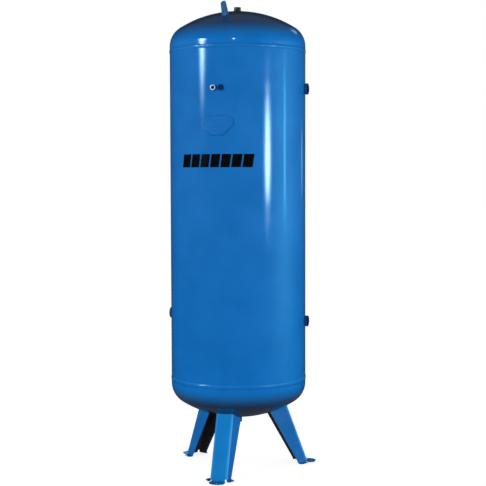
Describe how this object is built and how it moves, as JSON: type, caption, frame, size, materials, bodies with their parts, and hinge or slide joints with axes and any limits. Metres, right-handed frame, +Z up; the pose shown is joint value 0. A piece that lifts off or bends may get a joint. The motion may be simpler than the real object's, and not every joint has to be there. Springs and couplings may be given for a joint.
{
  "type": "air receiver tank",
  "caption": "Vertical welded steel air receiver with dished heads, threaded ports, lifting lugs, a data plate and splayed channel legs.",
  "frame": {"origin": "on the floor, where the tank's axis meets the plane of the three feet", "axes": "+Z up along the tank's axis; -Y towards the front, where the gauge bosses, the data plate and the front leg are; +X towards the outlet port"},
  "size_m": [0.64, 0.6638, 2.0475],
  "materials": {
    "vessel_enamel": "gloss blue enamel on steel",
    "weld_enamel": "gloss blue enamel on steel",
    "leg_enamel": "gloss blue enamel on steel",
    "lug_enamel": "gloss blue enamel on steel",
    "socket_enamel": "gloss blue enamel on steel",
    "plug_steel": "gloss blue enamel over a steel plug",
    "plate_enamel": "gloss blue enamel on steel",
    "rivet_metal": "gloss blue enamel over blind rivets",
    "decal_film": "satin black vinyl film"
  },
  "bodies": {
    "root": {"shell": "vessel_enamel", "top_head": "vessel_enamel", "bottom_head": "vessel_enamel", "upper_girth_weld": "weld_enamel", "lower_girth_weld": "weld_enamel", "longitudinal_weld": "weld_enamel", "front_leg_weld": "weld_enamel", "right_leg_weld": "weld_enamel", "left_leg_weld": "weld_enamel", "front_lug_weld": "weld_enamel", "rear_lug_weld": "weld_enamel", "top_socket_weld": "weld_enamel", "drain_socket_weld": "weld_enamel", "outlet_socket_weld": "weld_enamel", "inlet_socket_weld": "weld_enamel", "side_socket_weld": "weld_enamel", "gauge_socket_weld": "weld_enamel", "test_socket_weld": "weld_enamel", "front_leg": "leg_enamel", "right_leg": "leg_enamel", "left_leg": "leg_enamel", "front_lug": "lug_enamel", "rear_lug": "lug_enamel", "top_socket": "socket_enamel", "drain_socket": "socket_enamel", "outlet_socket": "socket_enamel", "inlet_socket": "socket_enamel", "side_socket": "socket_enamel", "gauge_socket": "socket_enamel", "test_socket": "socket_enamel", "test_plug": "plug_steel", "data_plate": "plate_enamel", "plate_rivets": "rivet_metal", "stripe_decal": "decal_film"}
  },
  "joints": []
}
